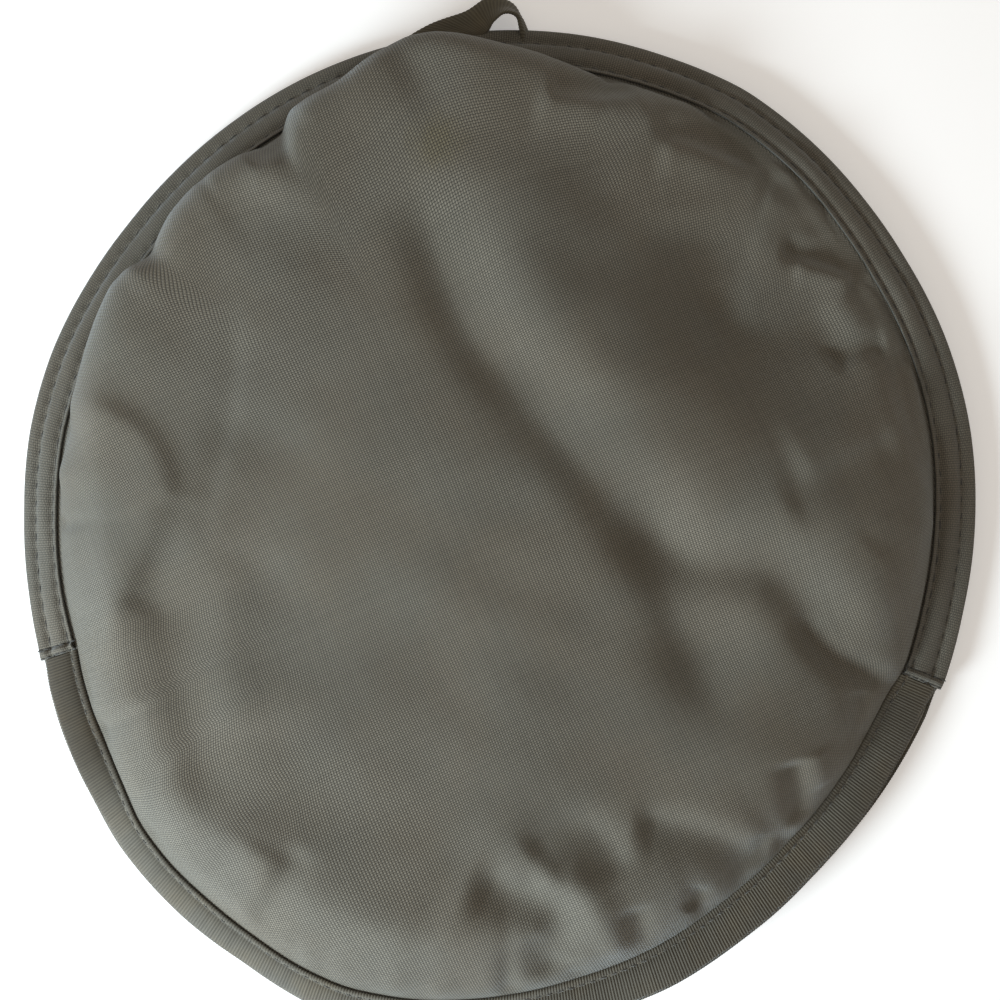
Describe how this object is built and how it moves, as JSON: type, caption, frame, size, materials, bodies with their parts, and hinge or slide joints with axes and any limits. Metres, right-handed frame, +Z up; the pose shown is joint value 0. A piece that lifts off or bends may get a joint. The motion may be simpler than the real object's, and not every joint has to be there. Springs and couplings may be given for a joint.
{
  "type": "tortilla warmer",
  "caption": "Round padded cloth pouch that keeps a stack of tortillas warm, with a bound rim, a wide mouth whose front lip lifts, and a tape loop for hanging.",
  "frame": {"origin": "middle of the back panel's underside, which lies on the table", "axes": "+Z up through both panels, +Y from the mouth towards the hanging loop, +X to the right as seen from the mouth"},
  "size_m": [0.3, 0.3145, 0.0347],
  "materials": {
    "outer_cloth": "coarse grey-olive woven cloth with bright and dark yarns",
    "binding_tape": "ribbed woven tape, a little darker than the cloth",
    "loop_tape": "the same ribbed tape, doubled",
    "thread": "dark twisted sewing thread",
    "lining": "smooth plain-weave lining",
    "padding": "white lofted wadding"
  },
  "bodies": {
    "pouch": {"back_cover": "outer_cloth", "back_padding": "padding", "back_lining": "lining", "back_lip_binding": "binding_tape", "back_lip_stitching": "thread", "front_cover": "outer_cloth", "front_padding": "padding", "front_lining": "lining", "rim_binding": "binding_tape", "rim_outer_stitching": "thread", "rim_inner_stitching": "thread", "right_corner_tack": "thread", "left_corner_tack": "thread"},
    "front_flap": {"flap_cover": "outer_cloth", "flap_padding": "padding", "flap_lining": "lining", "front_lip_binding": "binding_tape", "front_lip_stitching": "thread"},
    "loop": {"hanging_loop": "loop_tape"}
  },
  "joints": [
    {"name": "mouth_lift", "type": "hinge", "parent": "pouch", "child": "front_flap", "pos_m": [0, -0.0513, 0.02897], "axis": [-1, 0, 0], "range_deg": [-5, 70], "stiffness_Nm_per_rad": 0.15, "springref_deg": 5.16},
    {"name": "loop_swing", "type": "hinge", "parent": "pouch", "child": "loop", "pos_m": [-0.00685, 0.15085, 0.006], "axis": [0.999, 0.0454, 0], "range_deg": [-16, 70], "stiffness_Nm_per_rad": 0.002}
  ]
}
